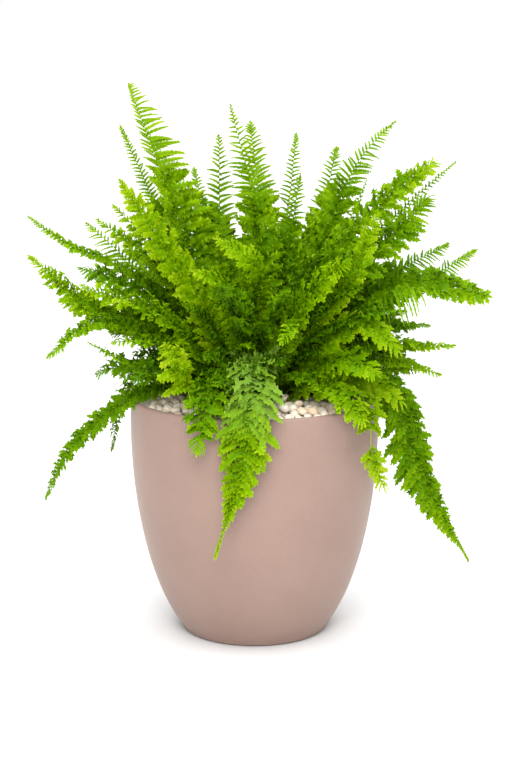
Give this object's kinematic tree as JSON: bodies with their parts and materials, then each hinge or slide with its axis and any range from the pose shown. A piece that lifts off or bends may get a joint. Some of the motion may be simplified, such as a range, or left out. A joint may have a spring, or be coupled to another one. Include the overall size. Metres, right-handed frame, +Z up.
{
  "type": "potted fern",
  "caption": "Bushy fern with long toothed arching fronds in a round tapered planter topped with pebbles; a free-standing decorative plant.",
  "frame": {"origin": "centre of the planter's flat base", "axes": "+Z up along the planter's axis, -Y towards the front seen in the picture, +X to its right"},
  "size_m": [0.6045, 0.4612, 0.7302],
  "materials": {
    "planter_shell": "matte dusty pink with a fine satin grain",
    "soil": "dark crumbly potting mix of bark and peat, coarse and dull",
    "pebbles": "tumbled cream-white stone, satin",
    "rhizome": "brown scaly root stock, dull",
    "foliage": "fresh yellow-green leaf, satin and slightly see-through"
  },
  "bodies": {
    "root": {"planter": "planter_shell", "potting_soil": "soil", "pebble_layer": "pebbles", "crown": "rhizome", "upright_frond_01": "foliage", "upright_frond_02": "foliage", "upright_frond_03": "foliage", "upright_frond_04": "foliage", "upright_frond_05": "foliage", "upright_frond_06": "foliage", "upright_frond_07": "foliage", "upright_frond_08": "foliage", "upright_frond_09": "foliage", "upright_frond_10": "foliage", "upright_frond_11": "foliage", "arching_frond_01": "foliage", "arching_frond_02": "foliage", "arching_frond_03": "foliage", "arching_frond_04": "foliage", "arching_frond_05": "foliage", "arching_frond_06": "foliage", "arching_frond_07": "foliage", "arching_frond_08": "foliage", "arching_frond_09": "foliage", "arching_frond_10": "foliage", "arching_frond_11": "foliage", "arching_frond_12": "foliage", "arching_frond_13": "foliage", "arching_frond_14": "foliage", "arching_frond_15": "foliage", "arching_frond_16": "foliage", "arching_frond_17": "foliage", "arching_frond_18": "foliage", "arching_frond_19": "foliage", "arching_frond_20": "foliage", "low_frond_01": "foliage", "low_frond_02": "foliage", "low_frond_03": "foliage", "low_frond_04": "foliage", "low_frond_05": "foliage", "low_frond_06": "foliage", "low_frond_07": "foliage", "low_frond_08": "foliage", "low_frond_09": "foliage", "low_frond_10": "foliage", "low_frond_11": "foliage", "low_frond_12": "foliage", "low_frond_13": "foliage", "low_frond_14": "foliage", "low_frond_15": "foliage", "low_frond_16": "foliage", "low_frond_17": "foliage", "low_frond_18": "foliage", "trailing_frond_01": "foliage", "trailing_frond_02": "foliage", "trailing_frond_03": "foliage", "trailing_frond_04": "foliage", "trailing_frond_05": "foliage", "trailing_frond_06": "foliage", "trailing_frond_07": "foliage"}
  },
  "joints": []
}
